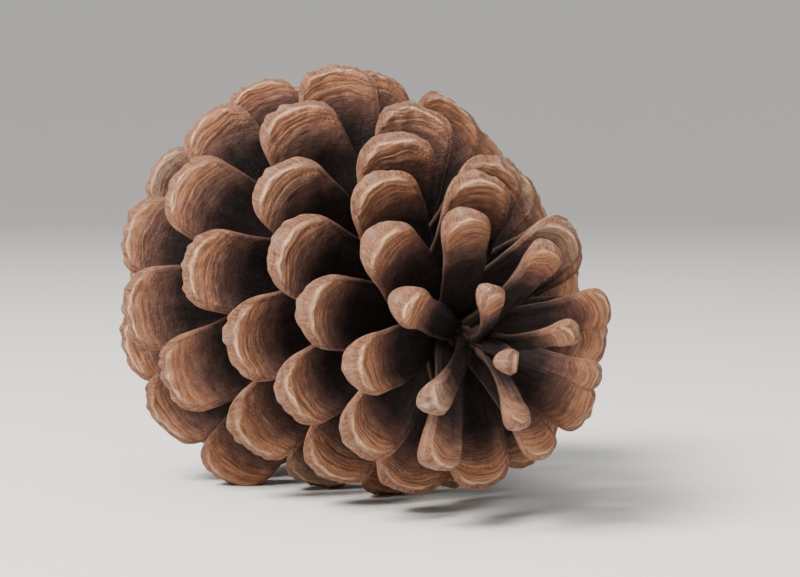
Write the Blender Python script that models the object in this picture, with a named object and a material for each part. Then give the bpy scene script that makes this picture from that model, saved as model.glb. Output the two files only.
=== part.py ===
"""An open pine cone lying on its side: a woody axis, its free seed scales and the fused scales at its foot.

The cone is laid out round its own upright axis first, with its scales counted from the tip down. Each
scale stands one divergence angle on from the last, which gives the spirals that a real cone shows. The
whole cone is then laid on the scales it rests on, its tip towards +X, and moved until its origin is on
the surface under the middle of its box.
"""

import math

import bmesh
import bpy
from mathutils import Matrix, Vector

MM = 0.001

# Driving dimensions, in millimetres and radians.
DIVERGENCE = math.radians(137.3)  # turn from one scale to the next
FIRST_AZIMUTH = math.radians(176.6)  # where the topmost scale points
FREE_SCALES = 58  # scales that stand free, from the tip down
ALL_SCALES = 90  # with the small ones round the foot, which have grown together
GAP = 0.3  # clearance between a free scale and the axis

# Each curve gives a size for scale number n, counted from the tip, as points that a smooth curve joins.
# Reach and height are those of the scale's end, from the axis and along it; foot height is where it leaves.
REACH = ((0, 5.4), (6, 15.4), (16, 21.4), (32, 26.9), (55, 34.6), (70, 32.5), (80, 26), (89, 17))
HEIGHT = ((0, 57.5), (6, 48.2), (16, 36.2), (32, 15.4), (55, -12.6), (70, -23), (80, -27), (89, -28.5))
FOOT_HEIGHT = ((0, 43), (6, 34.5), (16, 25), (32, 9.5), (55, -9.5), (70, -17.5), (80, -21), (89, -23.5))
WIDTH = ((0, 3.8), (6, 5.8), (12, 8.6), (20, 11.6), (32, 13.2), (55, 13.8), (70, 12.4), (80, 10), (89, 7.5))

# The axis, as heights and radii from its top down, with the stub of the stalk below the cone.
AXIS_OUTLINE = ((43.6, 0.8), (35, 1.7), (25, 3), (9.5, 4.4), (-9.5, 5.2), (-22, 5.2), (-28.5, 4))
STALK_END, STALK_RADIUS = -33.5, 3.4
AXIS_SIDES = 16

# The collar that joins the scales round the foot, on the axis.
COLLAR_HEIGHTS = (-11.75, -22.0, -27.0)
COLLAR_WALL = 1.6

# A scale's section.
FOOT_WIDTH = 2.6
FOOT_SHARE = 0.7  # of the full width, which the foot of a narrow scale has at most
BLADE_THICKNESS = 1.1
BASE_THICKNESS = 2.0  # of the scales that have grown together
TIP_THICKNESS = 4.6  # through the swollen end of a large scale
SLIM_TIP = (0.6, 0.3)  # thickness of a small scale's end: the first, and the second times its width
CUPPING = 0.2  # how far the side edges rise towards the cone's tip, as a share of the width
RECURVE = math.radians(17)  # how far a scale leaves the axis above its own chord
SECTION_SIDES = 8

# Along a scale, as shares of its length: where it is cut into sections, reaches its full cupping, is widest,
# and where its end swells and is rounded off to a share of its thickness.
STATIONS = (0.0, 0.3, 0.55, 0.76, 0.9, 0.985)
CUPPED_BY = 1 / 1.4
WIDEST = 0.74
SWELLS = (0.6, 0.85)
ROUNDED_FROM = 0.88
EDGE_SHARE = 0.35

# The cone is a little lopsided: underneath, its large scales are shorter and end near one plane. It lies on
# four free scales and on one of the fused ones, UP_AZIMUTH uppermost, with its tip lowered by TIP_DIP.
UNDERSIDE_DEPTH = 28.0
UNDERSIDE_LEAN = math.radians(1.0)
UNDERSIDE_AZIMUTH = math.radians(272.0)
UP_AZIMUTH = math.radians(92.8)
TIP_DIP = math.radians(4.9)
REST_CUT = 0.35  # depth of the flat worn on the lowest scales

SCALE_BROWN = (0.30, 0.17, 0.11)
AXIS_BROWN = (0.10, 0.055, 0.04)


def smooth(points, x):
    """The value at x of a monotone cubic curve through the points."""
    if x <= points[0][0]:
        return points[0][1]
    if x >= points[-1][0]:
        return points[-1][1]
    slopes = [(b[1] - a[1]) / (b[0] - a[0]) for a, b in zip(points, points[1:])]
    inner = [2 * s * t / (s + t) if s * t > 0 else 0.0 for s, t in zip(slopes, slopes[1:])]
    tangents = [slopes[0], *inner, slopes[-1]]
    k = max(j for j in range(len(slopes)) if points[j][0] <= x)
    (x0, y0), (x1, y1) = points[k], points[k + 1]
    t = (x - x0) / (x1 - x0)
    bulge = (x1 - x0) * t * (1 - t) * (tangents[k] * (1 - t) - tangents[k + 1] * t)
    return y0 * (1 + 2 * t) * (1 - t) ** 2 + y1 * t * t * (3 - 2 * t) + bulge


def ease(t):
    """A smooth step from 0 to 1 as t goes from 0 to 1."""
    t = min(1.0, max(0.0, t))
    return t * t * (3 - 2 * t)


def axis_radius(height):
    """The axis's radius at that height."""
    return smooth(AXIS_OUTLINE[::-1], height)


def lopsided_reach(reach, height, azimuth):
    """A scale's reach, cut short where it would pass through the flatter underside."""
    down = math.cos(azimuth - UNDERSIDE_AZIMUTH) * math.cos(UNDERSIDE_LEAN)
    room = UNDERSIDE_DEPTH - height * math.sin(UNDERSIDE_LEAN)
    return min(reach, room / down) if down > 0 else reach


def midline(n):
    """Scale n's midline as three control points (reach, height), and its azimuth."""
    azimuth = FIRST_AZIMUTH - DIVERGENCE * n
    foot_height = smooth(FOOT_HEIGHT, n)
    radius = axis_radius(foot_height)
    height = smooth(HEIGHT, n)
    tip = Vector((lopsided_reach(smooth(REACH, n), height, azimuth), height))
    leaving = math.atan2(tip.y - foot_height, tip.x - radius) + RECURVE
    clear = GAP + BLADE_THICKNESS / 2 * abs(math.sin(leaving))
    foot = Vector((radius + clear, foot_height))
    bend = foot + (tip - foot).length / 2 * Vector((math.cos(leaving), math.sin(leaving)))
    return (foot, bend, tip), azimuth


def half_width(n, t):
    """Half of scale n's width at share t of its length: a narrow foot that widens to a round end."""
    full = smooth(WIDTH, n) / 2
    foot = min(FOOT_WIDTH / 2, full * FOOT_SHARE)
    if t > WIDEST:
        return full * math.sqrt(1 - ((t - WIDEST) / (1 - WIDEST)) ** 2)
    return foot + (full - foot) * ease(t / WIDEST)


def thickness(n, t):
    """Scale n's thickness at share t of its length: a thin blade with a swollen, rounded end."""
    blade = BLADE_THICKNESS if n < FREE_SCALES else BASE_THICKNESS
    swollen = min(TIP_THICKNESS, SLIM_TIP[0] + SLIM_TIP[1] * smooth(WIDTH, n))
    swelling = ease((t - SWELLS[0]) / (SWELLS[1] - SWELLS[0]))
    rounding = math.sqrt(1 - max(0.0, (t - ROUNDED_FROM) / (1 - ROUNDED_FROM)) ** 2)
    return (blade + (swollen - blade) * swelling) * (EDGE_SHARE + (1 - EDGE_SHARE) * rounding)


def close_rings(mesh, rings):
    """Faces between neighbouring rings of vertices and over both ends."""
    for lower, upper in zip(rings, rings[1:]):
        for k in range(len(lower)):
            mesh.faces.new((lower[k - 1], lower[k], upper[k], upper[k - 1]))
    mesh.faces.new(rings[0])
    mesh.faces.new(rings[-1])
    bmesh.ops.recalc_face_normals(mesh, faces=mesh.faces)


def scale_mesh(n):
    """Scale n as a closed bmesh: flat, cupped sections along its midline."""
    (foot, bend, tip), azimuth = midline(n)
    outwards = Vector((math.cos(azimuth), math.sin(azimuth), 0))
    sideways = Vector((-math.sin(azimuth), math.cos(azimuth), 0))
    upwards = Vector((0, 0, 1))
    turn = math.tau / SECTION_SIDES
    section = [(math.cos(turn * k), math.sin(turn * k)) for k in range(SECTION_SIDES)]
    mesh = bmesh.new()
    rings = []
    for t in STATIONS:
        middle = foot * (1 - t) ** 2 + bend * 2 * t * (1 - t) + tip * t * t
        along = ((bend - foot) * (1 - t) + (tip - bend) * t).normalized()
        cupping = CUPPING * smooth(WIDTH, n) * min(1.0, t / CUPPED_BY)
        ring = []
        for across, above in section:
            lift = cupping * across**2 + above * thickness(n, t) / 2
            spot = middle + Vector((-along.y, along.x)) * lift
            aside = sideways * half_width(n, t) * across
            ring.append(mesh.verts.new((outwards * spot.x + upwards * spot.y + aside) * MM))
        rings.append(ring)
    close_rings(mesh, rings)
    return mesh


def ring_points(mesh, height, radius):
    """A level ring of vertices round the axis."""
    turn = math.tau / AXIS_SIDES
    spots = [(radius * math.cos(turn * k), radius * math.sin(turn * k), height) for k in range(AXIS_SIDES)]
    return [mesh.verts.new(Vector(spot) * MM) for spot in spots]


def axis_mesh():
    """The turned core of the cone, with the stub of its stalk."""
    mesh = bmesh.new()
    close_rings(mesh, [ring_points(mesh, *spot) for spot in (*AXIS_OUTLINE, (STALK_END, STALK_RADIUS))])
    return mesh


def collar_mesh():
    """The sleeve round the axis that the scales at the foot grow from."""
    mesh = bmesh.new()
    outer = [ring_points(mesh, h, axis_radius(h) + GAP + COLLAR_WALL) for h in COLLAR_HEIGHTS]
    inner = [ring_points(mesh, h, axis_radius(h) + GAP) for h in reversed(COLLAR_HEIGHTS)]
    rings = outer + inner
    for upper, lower in zip(rings, rings[1:] + rings[:1]):
        for k in range(AXIS_SIDES):
            mesh.faces.new((upper[k - 1], upper[k], lower[k], lower[k - 1]))
    bmesh.ops.recalc_face_normals(mesh, faces=mesh.faces)
    return mesh


def add(name, mesh, finish):
    """The bmesh as a named object in the scene."""
    data = bpy.data.meshes.new(name)
    mesh.to_mesh(data)
    mesh.free()
    data.materials.append(finish)
    made = bpy.data.objects.new(name, data)
    bpy.context.scene.collection.objects.link(made)
    return made


def add_base_scales(finish):
    """The collar and the scales at the foot, united into one body."""
    base = add("base_scales", collar_mesh(), finish)
    shapes = bpy.data.collections.new("base scale shapes")
    for n in range(FREE_SCALES, ALL_SCALES):
        shapes.objects.link(add(f"shape_{n + 1}", scale_mesh(n), finish))
    join = base.modifiers.new("join", "BOOLEAN")
    join.operation = "UNION"
    join.operand_type = "COLLECTION"
    join.collection = shapes
    grown = bpy.data.meshes.new_from_object(base.evaluated_get(bpy.context.evaluated_depsgraph_get()))
    base.modifiers.clear()
    base.data = grown
    for shape in list(shapes.objects):
        bpy.data.objects.remove(shape)
    bpy.data.collections.remove(shapes)
    return base


def plain_material(name, colour, roughness):
    """A dull material of one colour."""
    made = bpy.data.materials.new(name)
    made.use_nodes = True
    shader = made.node_tree.nodes["Principled BSDF"]
    shader.inputs["Base Color"].default_value = (*colour, 1)
    shader.inputs["Roughness"].default_value = roughness
    shader.inputs["Metallic"].default_value = 0.0
    return made


def lying():
    """The turn that lays the cone down: its tip towards +X and a little down, UP_AZIMUTH uppermost."""
    along = Vector((math.cos(TIP_DIP), 0, -math.sin(TIP_DIP)))
    up = Vector((math.sin(TIP_DIP), 0, math.cos(TIP_DIP)))
    laid = Matrix((up, along.cross(up), along)).transposed()
    return (laid @ Matrix.Rotation(-UP_AZIMUTH, 3, "Z")).to_4x4()


def lay_down(pieces):
    """Turn every piece, set the cone on the surface and wear the flats on its lowest scales."""
    for piece in pieces:
        piece.data.transform(lying())
    spots = [vertex.co for piece in pieces for vertex in piece.data.vertices]
    low = [min(spot[k] for spot in spots) for k in range(3)]
    high = [max(spot[k] for spot in spots) for k in range(3)]
    origin = Vector(((low[0] + high[0]) / 2, (low[1] + high[1]) / 2, low[2] + REST_CUT * MM))
    for piece in pieces:
        piece.data.transform(Matrix.Translation(-origin))
        if min(vertex.co.z for vertex in piece.data.vertices) < 0:
            mesh = bmesh.new()
            mesh.from_mesh(piece.data)
            whole = [*mesh.verts, *mesh.edges, *mesh.faces]
            surface = {"plane_co": (0, 0, 0), "plane_no": (0, 0, 1)}
            cut = bmesh.ops.bisect_plane(mesh, geom=whole, clear_inner=True, **surface)
            rim = [item for item in cut["geom_cut"] if isinstance(item, bmesh.types.BMEdge)]
            bmesh.ops.contextual_create(mesh, geom=rim)
            bmesh.ops.recalc_face_normals(mesh, faces=mesh.faces)
            mesh.to_mesh(piece.data)
            mesh.free()


def main():
    for old in list(bpy.data.objects):
        bpy.data.objects.remove(old)
    scale_wood = plain_material("scale_wood", SCALE_BROWN, 0.8)
    axis_wood = plain_material("axis_wood", AXIS_BROWN, 0.85)
    pieces = [add("axis", axis_mesh(), axis_wood), add_base_scales(scale_wood)]
    for n in range(FREE_SCALES):
        pieces.append(add(f"scale_{n + 1:02d}", scale_mesh(n), scale_wood))
    lay_down(pieces)


main()
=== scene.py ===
import math

import bpy
import numpy as np
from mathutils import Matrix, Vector


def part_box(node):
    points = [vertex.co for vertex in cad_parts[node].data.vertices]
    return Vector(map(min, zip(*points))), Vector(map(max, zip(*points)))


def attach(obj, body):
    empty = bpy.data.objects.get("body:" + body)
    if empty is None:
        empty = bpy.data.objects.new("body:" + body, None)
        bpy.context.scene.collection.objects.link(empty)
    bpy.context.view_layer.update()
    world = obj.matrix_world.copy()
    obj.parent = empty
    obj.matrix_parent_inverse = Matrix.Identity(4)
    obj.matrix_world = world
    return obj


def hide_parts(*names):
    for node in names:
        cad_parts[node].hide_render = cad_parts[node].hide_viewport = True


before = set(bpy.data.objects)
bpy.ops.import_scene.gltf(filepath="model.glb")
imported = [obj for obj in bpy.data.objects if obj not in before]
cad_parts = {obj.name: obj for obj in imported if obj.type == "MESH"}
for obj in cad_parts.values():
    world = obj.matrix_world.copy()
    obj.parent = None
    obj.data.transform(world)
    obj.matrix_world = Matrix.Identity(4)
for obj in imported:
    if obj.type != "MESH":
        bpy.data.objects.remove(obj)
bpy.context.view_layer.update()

# ---------------------------------------------------------------------------------------------------------
# The axis: the woody core that every scale grows from, with the torn stub of its stalk. It can be seen only
# in the gaps between the scales and at the foot. Scales are counted and placed along it from the tip down,
# so its place in the frame sets theirs.

# The cone's own sizes are in millimetres. An outline gives (height along the axis, radius).
AXIS_OUTLINE = ((43.6, 0.8), (35.0, 1.7), (25.0, 3.0), (9.5, 4.4), (-9.5, 5.2), (-22.0, 5.2), (-28.5, 4.0))
AXIS_TOP, AXIS_ROOT = AXIS_OUTLINE[0][0], AXIS_OUTLINE[-1][0]
STALK_END, STALK_RADIUS = -33.5, 3.4
STALK_FLARE, FLARE_LENGTH = 0.6, 2.5
CORE_SIDES = 16
AXIS_STATIONS, STALK_STATIONS, STALK_STEP, AXIS_AROUND = 150, 24, 0.2, 72
GNARLS, GNARL_HEIGHT = 14, 0.06
TORN_RINGS, SPLINTER_DEPTH, TORN_HOLLOW = 10, 0.35, 0.25
UP_AZIMUTH = math.radians(92.8)
TIP_DIP = math.radians(4.9)
MILLIMETRE = 0.001
ALONG = np.array([0, 0, 1.0])

HEARTWOOD, SAPWOOD, WEATHERED = (0.018, 0.010, 0.008), (0.085, 0.045, 0.030), (0.13, 0.085, 0.06)
TORN_DARK, TORN_PALE = (0.09, 0.048, 0.028), (0.38, 0.25, 0.155)


def smooth(points, x):
    """The value at x of a monotone cubic curve through the points."""
    xs, ys = np.array(points, float).T
    slopes = np.diff(ys) / np.diff(xs)
    before, after = slopes[:-1], slopes[1:]
    same_way = before * after > 0
    inner = np.where(same_way, 2 * before * after / np.where(same_way, before + after, 1), 0)
    tangents = np.concatenate([slopes[:1], inner, slopes[-1:]])
    x = np.clip(x, xs[0], xs[-1])
    k = np.clip(np.searchsorted(xs, x, side="right") - 1, 0, len(slopes) - 1)
    span = xs[k + 1] - xs[k]
    t = (x - xs[k]) / span
    bulge = span * t * (1 - t) * (tangents[k] * (1 - t) - tangents[k + 1] * t)
    return ys[k] * (1 + 2 * t) * (1 - t) ** 2 + ys[k + 1] * t * t * (3 - 2 * t) + bulge


def ease(low, high, x):
    """A smooth step from 0 at low to 1 at high: t t (3 - 2 t) of the share t of the way."""
    t = np.clip((x - low) / (high - low), 0, 1)
    return t * t * (3 - 2 * t)


def axis_radius(height):
    return smooth(AXIS_OUTLINE[::-1], height)


def laid_frame():
    """The cone's own directions in the frame, as rows: two across it and one along it to the tip."""
    along = np.array([math.cos(TIP_DIP), 0, -math.sin(TIP_DIP)])
    up = np.array([math.sin(TIP_DIP), 0, math.cos(TIP_DIP)])
    side = np.cross(along, up)
    turn_c, turn_s = math.cos(UP_AZIMUTH), math.sin(UP_AZIMUTH)
    return np.array([turn_c * up - turn_s * side, turn_s * up + turn_c * side, along])


def round_the_turn(sides):
    """That many angles, evenly round a full turn."""
    return math.tau * np.arange(sides) / sides


def rings_round_axis(outline, sides):
    """Rings of points round the cone's axis, one for each height and radius: radius (cos, sin), height."""
    angle = round_the_turn(sides)
    heights, radii = np.array(outline, float).T
    ring = np.stack([np.cos(angle), np.sin(angle), np.zeros(sides)], axis=-1)
    return radii[:, None, None] * ring + heights[:, None, None] * ALONG


LAID = laid_frame()
core = rings_round_axis((*AXIS_OUTLINE, (STALK_END, STALK_RADIUS)), CORE_SIDES).reshape(-1, 3)
CONE_MIDDLE = np.array(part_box("axis")[0]) - (core @ LAID * MILLIMETRE).min(axis=0)


def in_frame(points):
    """Points in the cone's own millimetres, moved to the frame's metres, and pressed flat on the surface."""
    placed = points @ LAID * MILLIMETRE + CONE_MIDDLE
    placed[..., 2] = np.maximum(placed[..., 2], 0)
    return placed


def quads_between(count, around):
    """The corners of the four-sided faces that join each of so many closed rings to the next one."""
    lower = np.arange(count - 1)[:, None] * around
    here = np.arange(around)[None, :]
    ahead = (here + 1) % around
    quads = [lower + here, lower + around + here, lower + around + ahead, lower + ahead]
    return np.stack(quads, axis=-1).reshape(-1, 4)


def skin(name, rings, caps, facts, finish):
    """A closed mesh over rings of points, with a named value or vector at each point.

    Each ring is joined to the next by four-sided faces, and the first and last ring to the cap, a single
    point, by triangles.
    """
    count, around = rings.shape[:2]
    quads = quads_between(count, around)
    foot, tip, last = count * around, count * around + 1, (count - 1) * around
    here = np.arange(around)
    ahead = (here + 1) % around
    shut_foot = np.stack([np.full(around, foot), here, ahead], axis=-1)
    shut_tip = np.stack([np.full(around, tip), last + ahead, last + here], axis=-1)
    corners = np.concatenate([quads.ravel(), shut_foot.ravel(), shut_tip.ravel()])
    starts = np.concatenate([np.arange(len(quads)) * 4, len(quads) * 4 + np.arange(2 * around) * 3])
    points = in_frame(np.concatenate([rings.reshape(-1, 3), caps]))
    mesh = bpy.data.meshes.new(name)
    mesh.vertices.add(len(points))
    mesh.vertices.foreach_set("co", points.astype(np.float32).ravel())
    mesh.loops.add(len(corners))
    mesh.loops.foreach_set("vertex_index", corners.astype(np.int32))
    mesh.polygons.add(len(starts))
    mesh.polygons.foreach_set("loop_start", starts.astype(np.int32))
    mesh.update(calc_edges=True)
    mesh.shade_smooth()
    for label, values in facts.items():
        kind, key = ("FLOAT_VECTOR", "vector") if values.ndim == 2 else ("FLOAT", "value")
        attribute = mesh.attributes.new(label, kind, "POINT")
        attribute.data.foreach_set(key, values.astype(np.float32).ravel())
    mesh.materials.append(finish)
    piece = bpy.data.objects.new(name, mesh)
    bpy.context.scene.collection.objects.link(piece)
    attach(piece, "root")
    return piece


class Finish:
    """A material whose nodes are added one call at a time."""

    def __init__(self, name):
        self.material = bpy.data.materials.new(name)
        self.material.use_nodes = True
        self.tree = self.material.node_tree
        self.shader = self.tree.nodes["Principled BSDF"]

    def node(self, kind, values=None, **settings):
        made = self.tree.nodes.new(kind)
        for key, value in settings.items():
            setattr(made, key, value)
        for key, value in (values or {}).items():
            self.feed(made.inputs[key], value)
        return made

    def feed(self, socket, value):
        if isinstance(value, bpy.types.NodeSocket):
            self.tree.links.new(value, socket)
        else:
            socket.default_value = value

    def fact(self, name, output="Fac"):
        return self.node("ShaderNodeAttribute", attribute_name=name).outputs[output]

    def sum(self, operation, a, b=0.0, c=None):
        values = {0: a, 1: b} if c is None else {0: a, 1: b, 2: c}
        return self.node("ShaderNodeMath", values, operation=operation).outputs[0]

    def between(self, value, low, high, out_low=0.0, out_high=1.0):
        """A smooth step from out_low, where the value is low, to out_high, where it is high."""
        values = {"Value": value, "From Min": low, "From Max": high, "To Min": out_low, "To Max": out_high}
        return self.node("ShaderNodeMapRange", values, interpolation_type="SMOOTHSTEP").outputs["Result"]

    def noise(self, place, scale, detail=4.0, roughness=0.55, distortion=0.0):
        values = {"Vector": place, "Scale": scale, "Detail": detail, "Roughness": roughness,
                  "Distortion": distortion}
        return self.node("ShaderNodeTexNoise", values).outputs["Fac"]

    def stretched(self, place, scale):
        return self.node("ShaderNodeMapping", {"Vector": place, "Scale": scale}).outputs["Vector"]

    def mixed(self, share, first, second):
        """The first colour, and as much of the second one over it as the share says."""
        made = self.node("ShaderNodeMix", {"Factor": share}, data_type="RGBA", clamp_factor=True)
        for socket, value in ((made.inputs[6], first), (made.inputs[7], second)):
            self.feed(socket, (*value, 1) if isinstance(value, tuple) else value)
        return made.outputs[2]

    def bump(self, height, distance, strength, under=None):
        made = self.node("ShaderNodeBump", {"Height": height, "Distance": distance, "Strength": strength})
        if under is not None:
            self.feed(made.inputs["Normal"], under)
        return made.outputs["Normal"]


def axis_wood():
    """Dark, rough wood, streaked along the cone and weathered in patches, pale and splintered where torn."""
    f = Finish("axis_wood")
    place = f.fact("grain", "Vector")
    streaks = f.noise(f.stretched(place, (2.2, 2.2, 0.35)), 1.0, 6.0, 0.65)
    patches = f.noise(place, 0.35, 3.0)
    wood = f.mixed(f.between(streaks, 0.35, 0.7), HEARTWOOD, SAPWOOD)
    wood = f.mixed(f.between(patches, 0.5, 0.75, 0.0, 0.5), wood, WEATHERED)
    splinters = f.noise(f.stretched(place, (3.5, 3.5, 0.2)), 1.0, 5.0, 0.7)
    torn = f.mixed(f.between(splinters, 0.35, 0.65), TORN_DARK, TORN_PALE)
    wood = f.mixed(f.fact("broken"), wood, torn)
    f.feed(f.shader.inputs["Base Color"], wood)
    f.feed(f.shader.inputs["Roughness"], f.between(streaks, 0.3, 0.7, 0.75, 0.95))
    f.shader.inputs["Specular IOR Level"].default_value = 0.25
    fine = f.bump(streaks, 0.0005, 0.9)
    f.feed(f.shader.inputs["Normal"], f.bump(splinters, 0.0004, 0.8, fine))
    return f.material


def make_axis():
    """The core turned to its outline and roughened by waves of random direction.

    At the stalk's end it closes in rings of falling radius. They sink towards the middle as the square root
    of the share of the way there, by a random depth at each point, as torn wood does.
    """
    rng = np.random.default_rng(4)
    along_core = np.linspace(AXIS_TOP, AXIS_ROOT, AXIS_STATIONS)
    heights = np.concatenate([along_core, np.linspace(AXIS_ROOT - STALK_STEP, STALK_END, STALK_STATIONS)])
    stalk = STALK_RADIUS + STALK_FLARE * ease(AXIS_ROOT - FLARE_LENGTH, AXIS_ROOT, heights)
    radii = np.where(heights > AXIS_ROOT, axis_radius(heights), stalk)
    rings = rings_round_axis(np.stack([heights, radii], axis=-1), AXIS_AROUND)
    angle = round_the_turn(AXIS_AROUND)
    swell = np.zeros(rings.shape[:2])
    for _ in range(GNARLS):
        turns, rise = rng.integers(1, 9), rng.uniform(-1.6, 1.6)
        share, phase = rng.uniform(0.2, 1.0), rng.uniform(0, 6.3)
        swell += share * np.sin(turns * angle[None, :] + rise * heights[:, None] + phase)
    away = rings * np.array([1, 1, 0]) / radii[:, None, None]
    rings = rings + away * (GNARL_HEIGHT * swell)[..., None]

    share = np.linspace(0.96, 0.1, TORN_RINGS)
    torn = rings[-1] * np.stack([share, share, np.ones(TORN_RINGS)], axis=-1)[:, None, :]
    inward = 1 - share[:, None]
    splinters = 1.6 + rng.uniform(-1, 1, (TORN_RINGS, AXIS_AROUND))
    depth = SPLINTER_DEPTH * inward**0.5 * splinters + TORN_HOLLOW * inward
    rings = np.concatenate([rings, torn + depth[..., None] * ALONG])[::-1]
    caps = np.array([[0, 0, STALK_END + 0.7], [0, 0, AXIS_TOP + 0.3]])
    broken = np.zeros(rings.shape[:2])
    broken[:TORN_RINGS] = 1
    grain = np.concatenate([rings.reshape(-1, 3), caps])
    facts = {"grain": grain, "broken": np.append(broken.ravel(), (1, 0))}
    axis = skin("cone_axis", rings, caps, facts, axis_wood())
    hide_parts("axis")


make_axis()

# ---------------------------------------------------------------------------------------------------------
# The seed scales: woody tongues that grew from the axis by a narrow foot, widen to a round end and swell
# there to a ridged, tan boss. Two seeds lay on the inner face of each, in shallow hollows side by side. The
# scales opened as the cone dried, those at the tip the least.

# Where they stand. Scales are numbered from the tip, and each curve gives (number, millimetres): how far out
# and how far along the axis a scale's end is, where its foot leaves the axis, and how wide its room is.
DIVERGENCE = math.radians(137.3)
FIRST_AZIMUTH = math.radians(176.6)
FREE_SCALES, ALL_SCALES = 58, 107
REACH = ((0, 5.4), (6, 15.4), (16, 21.4), (32, 26.9), (55, 34.6), (70, 32.5), (80, 26.0), (89, 17.0),
         (106, 8.0))
HEIGHT = ((0, 57.5), (6, 48.2), (16, 36.2), (32, 15.4), (55, -12.6), (70, -23.0), (80, -27.0), (89, -28.5),
          (106, -30.8))
FOOT_HEIGHT = ((0, 43.0), (6, 34.5), (16, 25.0), (32, 9.5), (55, -9.5), (70, -17.5), (80, -21.0), (89, -23.5),
               (106, -27.5))
WIDTH = ((0, 3.8), (6, 5.8), (12, 8.6), (20, 11.6), (32, 13.2), (55, 13.8), (70, 12.4), (80, 10.0), (89, 7.5),
         (106, 4.2))
RECURVE = math.radians(17)
FOOT_SUNK = 0.3
# The lowest ones are held back to the surface that the cone lies on.
UNDERSIDE_DEPTH, UNDERSIDE_LEAN, UNDERSIDE_AZIMUTH = 28.0, math.radians(1.0), math.radians(272.0)

# A scale's plan, for a full-grown one: how much of its room it fills, its foot, by what share of the way it
# has widened, the waist of the slim ones near the tip, and its blunt end.
SCALE_SEED = 1000
WIDTH_SHARES = (0.84, 0.96)
FULL_HALF, SMALLEST = 6.6, 0.45
LONGER_THAN_STRAIGHT = 1.02
FOOT_WIDTH, FOOT_SHARE = 6.0, 0.6
WIDENED_BY, WIDENED_LATER = 0.72, 0.13
SLIM_NUMBERS, SLIM_WAIST = (16, 4), 0.27
END_DEPTH, BLUNT, EDGE_WAVE = 0.76, 2.4, 0.035
BLADE_STATIONS, END_STATIONS, AROUND = 44, 40, 56

# Its faces: the blade, the swollen end with its shares over and under the midline, and how far in from the
# rim the chisel edge, the curl and the lip reach, on the blade and further in at the end.
BLADE_THICKNESS, FUSED_THICKER, TIP_THICKNESS = 1.1, 1.3, 4.6
SHARE_OVER, SHARE_UNDER, SHARE_KEEL = 0.44, 0.58, 0.04
SWELLS_FROM_TO, CUPPING = (0.5, 0.87), 0.2
CHISEL, CHISEL_AT_END = 0.45, 1.5
CURL, CURL_AT_END = 0.5, 2.3
LIP_IN, LIP_WIDTH, LIP_HEIGHT = 1.35, 0.34, 0.26

# Its relief: growth ridges as (share, part of the pitch), the seed hollows, and waves as (height, length).
RIDGE_PITCHES = (0.95, 1.30)
RIDGE_SET = ((0.55, 1.0), (0.45, 0.61), (0.3, 0.37))
RIDGE_INSIDE, RIDGE_OUTSIDE = 0.10, 0.08
HOLLOW_DEPTH, HOLLOW_OFFSET, HOLLOW_WIDTH = 0.30, 0.45, 0.25
FINE_WAVES = 9
LUMPS, WARTS, FURROWS = (0.10, 9.0), (0.07, 2.6), (0.10, 2.2)
END_BULGE, END_NOTCH, RIM_NICKS = (0.20, 6.0), (0.10, 2.4), (0.13, 1.9)
UMBO_MOST = 0.5
TWIST, SWAY = 0.07, 0.45
PALE_NUMBERS, PALE_STEM = (22, 6), 0.5


def midline(n):
    """A scale's midline as control points (reach, height) of a curve, and the way it faces round the axis."""
    azimuth = FIRST_AZIMUTH - DIVERGENCE * n
    foot_height, height, reach = smooth(FOOT_HEIGHT, n), smooth(HEIGHT, n), smooth(REACH, n)
    down = math.cos(azimuth - UNDERSIDE_AZIMUTH) * math.cos(UNDERSIDE_LEAN)
    if down > 0:
        reach = min(reach, (UNDERSIDE_DEPTH - height * math.sin(UNDERSIDE_LEAN)) / down)
    tip = np.array([reach, height])
    radius = axis_radius(foot_height)
    leaving = math.atan2(height - foot_height, reach - radius) + RECURVE
    foot = np.array([radius - FOOT_SUNK, foot_height])
    bend = foot + np.linalg.norm(tip - foot) / 2 * np.array([math.cos(leaving), math.sin(leaving)])
    return foot, bend, tip, azimuth


def waves(rng, x, y, size, count=6):
    """Soft irregularity: sine waves of random direction and phase, about size millimetres long, summed."""
    total = np.zeros(np.broadcast(x, y).shape)
    for _ in range(count):
        way = rng.uniform(0, math.tau)
        length = size * rng.uniform(0.6, 1.6)
        along = (x * math.cos(way) + y * math.sin(way)) / length
        total += np.sin(math.tau * along + rng.uniform(0, math.tau))
    return total / math.sqrt(count)


def bell(x, width):
    return np.exp(-((x / width) ** 2))


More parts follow.
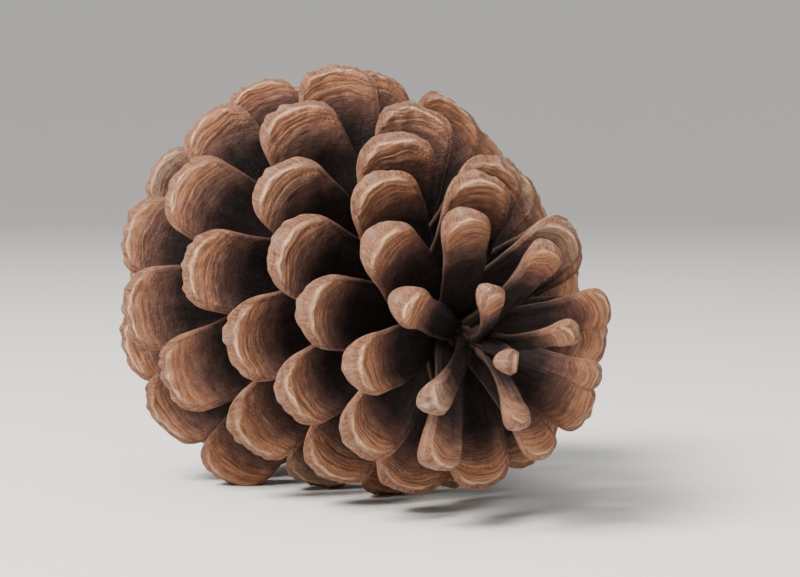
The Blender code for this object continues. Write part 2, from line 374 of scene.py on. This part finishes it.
class SeedScale:
    """One scale, as closed sections along its midline, each a ring of points from one edge round to it again.

    x is a point's distance across the scale from the midline, y its distance along from the foot, and s
    that distance as a share of the length. lift is its height over the midline.
    """

    def __init__(self, n):
        self.n = n
        self.rng = np.random.default_rng(SCALE_SEED + n)
        self.foot, self.bend, self.tip, self.azimuth = midline(n)
        self.full = smooth(WIDTH, n) / 2 * self.rng.uniform(*WIDTH_SHARES)
        self.size = max(self.full / FULL_HALF, SMALLEST)
        self.length = np.linalg.norm(self.tip - self.foot) * LONGER_THAN_STRAIGHT
        self.widest = 1 - END_DEPTH * self.full / self.length
        self.slim = ease(*SLIM_NUMBERS, n)

    def draw_plan(self):
        """The outline: a foot widened to the full half width as q (2 - q), then a blunt end.

        q is the share of the way that it widens in. The end is the arc on which (share of its length) to
        the power BLUNT and (share of the half width) to the power BLUNT make 1. rim is a point's distance
        from the outline, and arc its distance from the end along y.
        """
        full, length, widest = self.full, self.length, self.widest
        lead = widest * np.linspace(0, 1, BLADE_STATIONS, endpoint=False) ** 0.8
        end = widest + (1 - widest) * np.sin(np.linspace(0, math.pi / 2, END_STATIONS + 1)[:-1])
        self.s = s = np.concatenate([lead, end])[:, None]
        angle = round_the_turn(AROUND)[None, :]
        self.inside = np.sin(angle) >= -1e-9
        self.past = past = np.clip((s - widest) / (1 - widest), 0, 1)

        foot_half = min(FOOT_WIDTH / 2, full * FOOT_SHARE)
        waist = full * (1 - SLIM_WAIST * self.slim)
        q = np.clip(s / ((WIDENED_BY + WIDENED_LATER * self.slim) * widest), 0, 1)
        tongue = foot_half + (waist - foot_half) * q * (2 - q)
        tongue = tongue + (full - waist) * ease(0.8 * widest, widest, s)
        uneven = waves(self.rng, 0 * s, s * length, 7.0)
        tongue = tongue * (1 + EDGE_WAVE * uneven * ease(0.2, 0.5, s) * ease(widest, 0.7 * widest, s))
        self.half = np.where(s < widest, tongue, full * (1 - past**BLUNT) ** (1 / BLUNT))

        self.x = x = np.cos(angle) * self.half
        self.y = y = s * length + 0 * x
        self.across = np.clip(np.abs(x) / full, 0, 1)
        in_end = full * (1 - (past**BLUNT + self.across**BLUNT) ** (1 / BLUNT))
        self.rim = np.maximum(np.where(s < widest, self.half - np.abs(x), in_end), 0)
        bowed = widest + (1 - widest) * (1 - 0.5 * self.across**2)
        self.arc = np.maximum(length * bowed - y, 0)
        self.toward_end = ease(0, 0.8, past)
        self.in_rim = np.clip(self.rim, 0, 1)

    def raise_faces(self):
        """Both faces, cupped as the square of the distance from the midline, and parted where the end swells.

        From that plateau the inner face falls to the keel over a chisel edge, as 1 - (1 - share)^1.4, and
        the outer face curls up to it as a quarter of an ellipse. A lip stands along the chisel's edge.
        """
        rng, full, size, rim, s = self.rng, self.full, self.size, self.rim, self.s
        thick = min(TIP_THICKNESS, 1.2 * full + 0.9) * rng.uniform(0.92, 1.06)
        blade = BLADE_THICKNESS * (1 if self.n < FREE_SCALES else FUSED_THICKER) * (1 + ease(0.35, 0, s))
        swell = ease(*SWELLS_FROM_TO, s)
        crown = np.clip(1 - self.across**2, 0, 1)
        cup = 2 * CUPPING * full * self.across**2 * np.minimum(1, 1.4 * s) * rng.uniform(0.75, 1.05)
        inner = cup + blade / 2 + (SHARE_OVER * thick - blade / 2) * swell * crown**0.9
        outer = cup - blade / 2 - (SHARE_UNDER * thick - blade / 2) * swell * crown**0.7
        keel = cup + SHARE_KEEL * thick * crown**0.5 * self.past
        slope = np.clip(rim / (CHISEL + CHISEL_AT_END * size * self.toward_end), 0, 1)
        curl = np.clip(rim / (CURL + CURL_AT_END * size * self.toward_end), 0, 1)
        self.wobble = waves(rng, self.x, self.y, 5.0)
        self.lip = bell(rim - size * (LIP_IN + 0.18 * self.wobble), LIP_WIDTH * size) * self.toward_end
        self.lip = self.lip * np.where(self.inside, 1, 0)
        self.inner = keel + (inner - keel) * (1 - (1 - slope) ** 1.4) + LIP_HEIGHT * size * self.lip
        self.outer = keel + (outer - keel) * np.sqrt(1 - (1 - curl) ** 2)
        self.swell = swell

    def add_relief(self):
        """Growth ridges, three sets of waves that follow the distance from the end; the two seed hollows;
        and roughness, coarse over the scale and fine on its end."""
        rng, size, x, y = self.rng, self.size, self.x, self.y
        self.line = self.arc + 0.22 * self.wobble
        pitch = rng.uniform(*RIDGE_PITCHES) * size**0.5
        ridges = 0
        for share, part in RIDGE_SET:
            phase = math.tau * self.line / (pitch * part) + rng.uniform(0, 6.3)
            ridges = ridges + share * np.sin(phase + 0.7 * np.sin(phase))
        where = ease(0.1, 0.7, self.rim) * ease(8.5 * size, 2.5 * size, self.line) * ease(0.4, 0.6, self.s)
        self.ridges = ridges * where
        hollows = bell(np.abs(x) / self.half - HOLLOW_OFFSET, HOLLOW_WIDTH)
        hollows = hollows * ease(0.08, 0.25, self.s) * ease(5.0 * size, 9.0 * size, self.arc)
        self.inner = self.inner + RIDGE_INSIDE * size * self.ridges - HOLLOW_DEPTH * size * hollows
        self.outer = self.outer + RIDGE_OUTSIDE * size * self.ridges
        face = np.where(self.inside, self.inner, self.outer)
        rough = LUMPS[0] * waves(rng, x, y, LUMPS[1])
        rough = rough + WARTS[0] * waves(rng, x, y, WARTS[1], FINE_WAVES) * self.swell
        furrows = FURROWS[0] * waves(rng, x, 0.25 * y + face, FURROWS[1], FINE_WAVES)
        relief = rough * (0.3 + 0.7 * self.in_rim) + furrows * self.toward_end * self.in_rim
        self.lift = face + size * relief

    def push_end(self):
        """How far each point of the end stands out along the scale: an umbo, a bell over the middle of the
        rim, and an uneven edge, waves of three lengths."""
        rng, size, x, rim, past = self.rng, self.size, self.x, self.rim, self.past
        umbo = bell(x, 0.95 * size) * bell(rim, 1.3 * size) * past
        push = rng.uniform(0, UMBO_MOST) * umbo
        edge = END_BULGE[0] * waves(rng, x, 0 * self.y, END_BULGE[1])
        edge = edge + END_NOTCH[0] * waves(rng, x, 0 * self.y, END_NOTCH[1])
        nicks = RIM_NICKS[0] * waves(rng, x, self.lift, RIM_NICKS[1], FINE_WAVES)
        return size * (push + edge * past**2 + nicks * self.toward_end * ease(3.0, 0.5, rim))

    def rings(self, push):
        """The sections carried along the midline, with a slight twist and sway that grow as s squared."""
        s, x, lift = self.s, self.x, self.lift
        twist = self.rng.normal(0, TWIST) * s**2
        sway = self.rng.normal(0, SWAY) * self.size * s**2
        aside = x * np.cos(twist) - lift * np.sin(twist) + sway
        rise = x * np.sin(twist) + lift * np.cos(twist)
        curve = self.foot * (1 - s) ** 2 + self.bend * 2 * s * (1 - s) + self.tip * s**2
        ahead = (self.bend - self.foot) * (1 - s) + (self.tip - self.bend) * s
        ahead = ahead / np.linalg.norm(ahead, axis=-1, keepdims=True)
        reach = curve[:, :1] - ahead[:, 1:] * rise + ahead[:, :1] * push
        height = curve[:, 1:] + ahead[:, :1] * rise + ahead[:, 1:] * push
        outwards = np.array([math.cos(self.azimuth), math.sin(self.azimuth), 0])
        sideways = np.array([-math.sin(self.azimuth), math.cos(self.azimuth), 0])
        return reach[..., None] * outwards + aside[..., None] * sideways + height[..., None] * ALONG

    def facts(self):
        """What the finish needs at each point: places along the grain and across the growth lines, and how
        near the end, the rim, the lip and the umbo it is, in full-grown millimetres. Near the cone's tip
        the distance from the end counts for less, so there the pale wood runs further in before the near
        black, which is partly painted shade, begins."""

        def at_points(values):
            values = (values + 0 * self.x).ravel()
            return np.concatenate([values, values[:1], values[-1:]])

        size, apart = self.size, at_points(self.x + 37.0 * self.n)
        from_end = self.arc / size * (1 - PALE_STEM * ease(*PALE_NUMBERS, self.n))
        near_umbo = bell(self.x, 0.9 * size) * bell(self.rim, 0.9 * size) * self.past
        return {"grain": np.stack([apart, at_points(self.y), at_points(self.lift)], axis=-1),
                "growth": np.stack([apart, at_points(self.lift), at_points(self.line)], axis=-1),
                "arc": at_points(from_end + (0 if self.n < FREE_SCALES else 0.5)),
                "rim": at_points(self.rim / size),
                "face": at_points(np.where(self.inside, 1.0, 0.0)),
                "ridge": at_points(self.ridges),
                "lip": at_points(self.lip),
                "tone": at_points(self.rng.uniform(-1, 1)),
                "umbo": at_points(near_umbo * (0.5 + 0.4 * self.slim))}


def make_scale(n, name, finish):
    """The n-th scale from the tip, shut at both ends at the middle of its first and last section."""
    scale = SeedScale(n)
    scale.draw_plan()
    scale.raise_faces()
    scale.add_relief()
    rings = scale.rings(scale.push_end())
    caps = np.stack([rings[0].mean(axis=0), rings[-1].mean(axis=0)])
    piece = skin(name, rings, caps, scale.facts(), finish)
    return piece


TAN_GROOVE, TAN_CREST, TAN_DULL = (0.205, 0.078, 0.039), (0.39, 0.182, 0.097), (0.25, 0.125, 0.095)
TAN_GREY, TAN_LICHEN, TAN_END = (0.28, 0.165, 0.115), (0.29, 0.26, 0.175), (0.45, 0.235, 0.13)
EDGE_BROWN, EDGE_PALE, EDGE_CRACK = (0.215, 0.098, 0.066), (0.47, 0.29, 0.19), (0.075, 0.036, 0.026)
# The second colour on the next line is a painted highlight for the scales' rims.
LIP_PALE, RIM_HIGHLIGHT = (0.64, 0.41, 0.27), (0.30, 0.16, 0.10)
MAUVE_GROOVE, MAUVE_CREST, MAUVE_WRINKLE = (0.074, 0.032, 0.024), (0.125, 0.059, 0.045), (0.16, 0.085, 0.066)
# The near black of the scales' inner parts is partly the wood's own dark brown and partly painted shade of
# the gaps.
DARK_FIBRE_AND_SHADE, DARK_WOOD_AND_SHADE = (0.009, 0.006, 0.0056), (0.026, 0.0155, 0.014)
# The first two colours on the next line are painted shade for the growth ridges' troughs and a painted
# highlight for their crests.
RIDGE_SHADE, RIDGE_HIGHLIGHT, DIRT = (0.055, 0.024, 0.018), (0.50, 0.29, 0.18), (0.035, 0.020, 0.017)
UMBO_GREY, RESIN = (0.40, 0.35, 0.285), (0.60, 0.54, 0.46)
TAN_TO_MAUVE, MAUVE_TO_DARK = (1.9, 5.2), (4.0, 9.8)


def scale_wood():
    """Dry scale wood: tan ridged ends, mauve-brown and then near black towards the axis, that last partly the
    wood's own dark brown and partly painted shade in the deep gaps between the scales.

    Across the zones run fibres, wrinkles, growth lines, mottling and grit, each a noise stretched its own
    way. The end's edge has a pale lip and short cracks, and resin flecks and a grey umbo on top. Painted
    highlights lie along the rims and on the ridge crests, and painted shade lies in the ridge troughs.
    """
    f = Finish("scale_wood")
    place, growth = f.fact("grain", "Vector"), f.fact("growth", "Vector")
    arc, rim, face, tone = f.fact("arc"), f.fact("rim"), f.fact("face"), f.fact("tone")
    fibres = f.noise(f.stretched(place, (3.0, 0.22, 0.0)), 1.0, 3.0, 0.6)
    wrinkles = f.noise(f.stretched(place, (0.9, 4.2, 0.0)), 1.0, 2.0, 0.5, 0.8)
    lines = f.noise(f.stretched(growth, (0.22, 1.1, 2.6)), 1.0, 4.0, 0.65, 0.3)
    mottle = f.noise(place, 0.55, 4.0, 0.6)
    grit = f.noise(place, 4.0, 3.0, 0.7)
    cracks = f.noise(f.stretched(place, (3.6, 0.5, 0.8)), 1.0, 5.0, 0.7, 0.4)
    edge = f.sum("MAXIMUM", f.between(rim, 1.25, 0.8), f.sum("MULTIPLY_ADD", face, -0.8, 0.8))

    ragged = f.sum("MULTIPLY_ADD", f.sum("SUBTRACT", mottle, 0.5), 4.0, arc)
    ragged = f.sum("MULTIPLY_ADD", tone, 0.6, ragged)
    under = f.sum("MULTIPLY_ADD", rim, 5.5, f.sum("MULTIPLY_ADD", mottle, 4.0, -9.5))
    under = f.sum("MAXIMUM", under, f.sum("MULTIPLY", ragged, 0.85))
    zone = f.node("ShaderNodeMix", {"Factor": face, "A": under, "B": ragged}).outputs["Result"]

    tan = f.mixed(f.between(lines, 0.38, 0.62), TAN_GROOVE, TAN_CREST)
    tan = f.mixed(f.between(mottle, 0.5, 0.7, 0.0, 0.6), tan, TAN_DULL)
    tan = f.mixed(f.between(tone, 0.1, 1.0, 0.0, 0.45), tan, TAN_GREY)
    tan = f.mixed(f.between(tone, 0.80, 0.90, 0.0, 0.3), tan, TAN_LICHEN)
    tan = f.mixed(f.between(arc, 2.4, 1.2, 0.0, 0.25), tan, TAN_END)
    tan = f.mixed(f.sum("MULTIPLY", edge, 0.55), tan, EDGE_BROWN)
    tan = f.mixed(f.sum("MULTIPLY", edge, f.between(cracks, 0.50, 0.32, 0.0, 0.5)), tan, EDGE_PALE)
    tan = f.mixed(f.sum("MULTIPLY", edge, f.between(cracks, 0.50, 0.64, 0.0, 0.6)), tan, EDGE_CRACK)
    patchy = f.between(f.sum("ADD", mottle, lines), 0.8, 1.15, 0.15, 0.85)
    tan = f.mixed(f.sum("MULTIPLY", f.between(f.fact("lip"), 0.3, 1.0), patchy), tan, LIP_PALE)
    mauve = f.mixed(f.between(lines, 0.34, 0.66), MAUVE_GROOVE, MAUVE_CREST)
    mauve = f.mixed(f.between(wrinkles, 0.40, 0.62, 0.0, 0.35), mauve, MAUVE_WRINKLE)
    # Near black: partly the wood's own dark brown, partly painted shade in the deep gaps between the scales.
    dark = f.mixed(f.between(fibres, 0.3, 0.75), DARK_FIBRE_AND_SHADE, DARK_WOOD_AND_SHADE)

    wood = f.mixed(f.between(zone, *TAN_TO_MAUVE), tan, mauve)
    # Towards the axis the colour goes near black, partly the wood's own and partly painted shade in the gaps.
    wood = f.mixed(f.between(zone, *MAUVE_TO_DARK), wood, dark)
    # A painted highlight: a pale line along the very rim of each scale, as if the rim caught the light.
    wood = f.mixed(f.between(rim, 0.30, 0.05, 0.0, 0.18), wood, RIM_HIGHLIGHT)
    # Painted shade in the troughs of the modelled growth ridges, and a painted highlight on their crests.
    wood = f.mixed(f.between(f.fact("ridge"), 0.1, -0.9, 0.0, 0.45), wood, RIDGE_SHADE)
    wood = f.mixed(f.between(f.fact("ridge"), 0.4, 1.0, 0.0, 0.22), wood, RIDGE_HIGHLIGHT)
    wood = f.mixed(f.between(grit, 0.54, 0.70, 0.0, 0.40), wood, DIRT)
    wood = f.mixed(f.sum("MULTIPLY", f.fact("umbo"), f.between(grit, 0.35, 0.6, 0.0, 0.7)), wood, UMBO_GREY)
    flecks = f.sum("MULTIPLY", f.between(grit, 0.62, 0.70), f.between(mottle, 0.50, 0.60))
    wood = f.mixed(f.sum("MULTIPLY", flecks, f.between(arc, 4.0, 1.5)), wood, RESIN)
    f.feed(f.shader.inputs["Base Color"], wood)
    f.feed(f.shader.inputs["Roughness"], f.between(mottle, 0.3, 0.7, 0.62, 0.90))
    f.shader.inputs["Specular IOR Level"].default_value = 0.2

    fine = f.bump(fibres, 0.00010, 0.7)
    fine = f.bump(wrinkles, 0.00016, 0.8, fine)
    fine = f.bump(f.noise(place, 1.4, 4.0, 0.65), 0.00045, 0.7, fine)
    fine = f.bump(f.sum("MULTIPLY", cracks, edge), 0.00050, 0.8, fine)
    fine = f.bump(f.sum("MULTIPLY", lines, f.between(zone, 8.0, 3.0, 0.25, 1.0)), 0.00040, 0.9, fine)
    fine = f.bump(grit, 0.00020, 0.9, fine)
    f.feed(f.shader.inputs["Normal"], fine)
    return f.material


wood = scale_wood()
for n in range(FREE_SCALES):
    scale = make_scale(n, f"seed_scale_{n + 1:02d}", wood)
    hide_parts(f"scale_{n + 1:02d}")

# ---------------------------------------------------------------------------------------------------------
# The crowded scales round the foot: the same dry wood, but smaller, and turned back towards the stalk. They
# have grown together at their roots on a collar of woody tissue round the axis.

COLLAR_TOP, COLLAR_FOOT, COLLAR_WALL = -11.75, -27.0, 1.9
COLLAR_STATIONS, COLLAR_LUMPS = 40, 0.12


def make_collar(finish):
    """The sleeve of tissue on the axis, whose wall swells along it as a sine to the power 0.4, unevenly."""
    rng = np.random.default_rng(9)
    t = np.linspace(0, 1, COLLAR_STATIONS)
    heights = COLLAR_TOP + (COLLAR_FOOT - COLLAR_TOP) * t
    radii = axis_radius(heights) + COLLAR_WALL * np.sin(math.pi * np.clip(t, 0.03, 0.97)) ** 0.4
    rings = rings_round_axis(np.stack([heights, radii], axis=-1), AXIS_AROUND)
    angle = round_the_turn(AXIS_AROUND)[None, :]
    uneven = waves(rng, 9 * np.cos(angle), heights[:, None], 4.0)
    uneven = uneven + waves(rng, 9 * np.sin(angle), heights[:, None], 3.0)
    away = rings * np.array([1, 1, 0]) / radii[:, None, None]
    rings = (rings + away * (COLLAR_LUMPS * uneven)[..., None])[::-1]
    caps = np.array([[0, 0, COLLAR_FOOT], [0, 0, COLLAR_TOP]])
    grain = np.concatenate([rings.reshape(-1, 3), caps])
    collar = skin("scale_collar", rings, caps, {"grain": grain}, finish)
    return collar


collar = make_collar(bpy.data.materials["axis_wood"])
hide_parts("base_scales")
for n in range(FREE_SCALES, ALL_SCALES):
    scale = make_scale(n, f"base_scale_{n + 1:02d}", wood)
    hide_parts("base_scales")

# ---------------------------------------------------------------------------------------------------------
# The studio: a wide pale floor under the cone that turns up far away, soft light from the left, from above
# and from the right, and a camera low on the side that shows the tip.

FLOOR_COLOUR = (0.80, 0.79, 0.77, 1)
FLOOR_RADIUS, FLOOR_CURVE, FLOOR_AROUND = 1.2, 1.2, 96


def pale_floor():
    """A plain, matt, level floor that turns up all round: a quarter of a circle carried round the middle."""
    f = Finish("pale_floor")
    f.shader.inputs["Base Color"].default_value = FLOOR_COLOUR
    f.shader.inputs["Roughness"].default_value = 0.9
    turn = round_the_turn(FLOOR_AROUND)
    rise = np.linspace(0, math.pi / 2, 24)[1:]
    level = FLOOR_RADIUS * np.array([1, 2, 3]) / 3
    radii = np.concatenate([level, FLOOR_RADIUS + FLOOR_CURVE * np.sin(rise)])
    heights = np.concatenate([[0, 0, 0], FLOOR_CURVE * (1 - np.cos(rise))])
    rings = radii[:, None, None] * np.stack([np.cos(turn), np.sin(turn), 0 * turn], axis=-1)
    rings = rings + heights[:, None, None] * ALONG
    points = np.concatenate([rings.reshape(-1, 3), [[0, 0, 0]]])
    quads = quads_between(len(radii), FLOOR_AROUND)
    here = np.arange(FLOOR_AROUND)
    middle = np.stack([here, (here + 1) % FLOOR_AROUND, np.full(FLOOR_AROUND, len(points) - 1)], axis=-1)
    mesh = bpy.data.meshes.new("floor")
    mesh.from_pydata(points.tolist(), [], quads.tolist() + middle.tolist())
    mesh.shade_smooth()
    mesh.materials.append(f.material)
    floor = bpy.data.objects.new("floor", mesh)
    bpy.context.scene.collection.objects.link(floor)


def look_from(name, data, azimuth, elevation, distance, target):
    """A lamp or camera, set at that distance from the target and turned to face it."""
    a, e = math.radians(azimuth), math.radians(elevation)
    back = Vector((math.sin(a) * math.cos(e), -math.cos(a) * math.cos(e), math.sin(e)))
    made = bpy.data.objects.new(name, data)
    made.location = Vector(target) + back * distance
    made.rotation_euler = back.to_track_quat("Z", "Y").to_euler()
    bpy.context.scene.collection.objects.link(made)
    return made


def soft_light(name, azimuth, elevation, distance, size, power, colour):
    lamp = bpy.data.lights.new(name, "AREA")
    lamp.size, lamp.energy, lamp.color = size, power, colour
    look_from(name, lamp, azimuth, elevation, distance, (0, 0, 0.03))


pale_floor()
world = bpy.data.worlds.new("studio")
world.use_nodes = True
world.node_tree.nodes["Background"].inputs["Color"].default_value = (0.97, 0.98, 1.0, 1)
world.node_tree.nodes["Background"].inputs["Strength"].default_value = 0.24
bpy.context.scene.world = world
soft_light("window", 18, 50, 0.9, 0.42, 22.5, (1.0, 0.96, 0.90))
soft_light("ceiling", 66, 82, 1.3, 1.4, 9, (0.97, 0.98, 1.0))
soft_light("fill", 85, 25, 1.0, 0.8, 1.2, (1.0, 0.97, 0.94))

camera = bpy.data.cameras.new("camera")
camera.lens = 108
camera.clip_start, camera.clip_end = 0.01, 20
bpy.context.scene.camera = look_from("camera", camera, 66, 3.5, 0.352, (0, 0, 0.031))
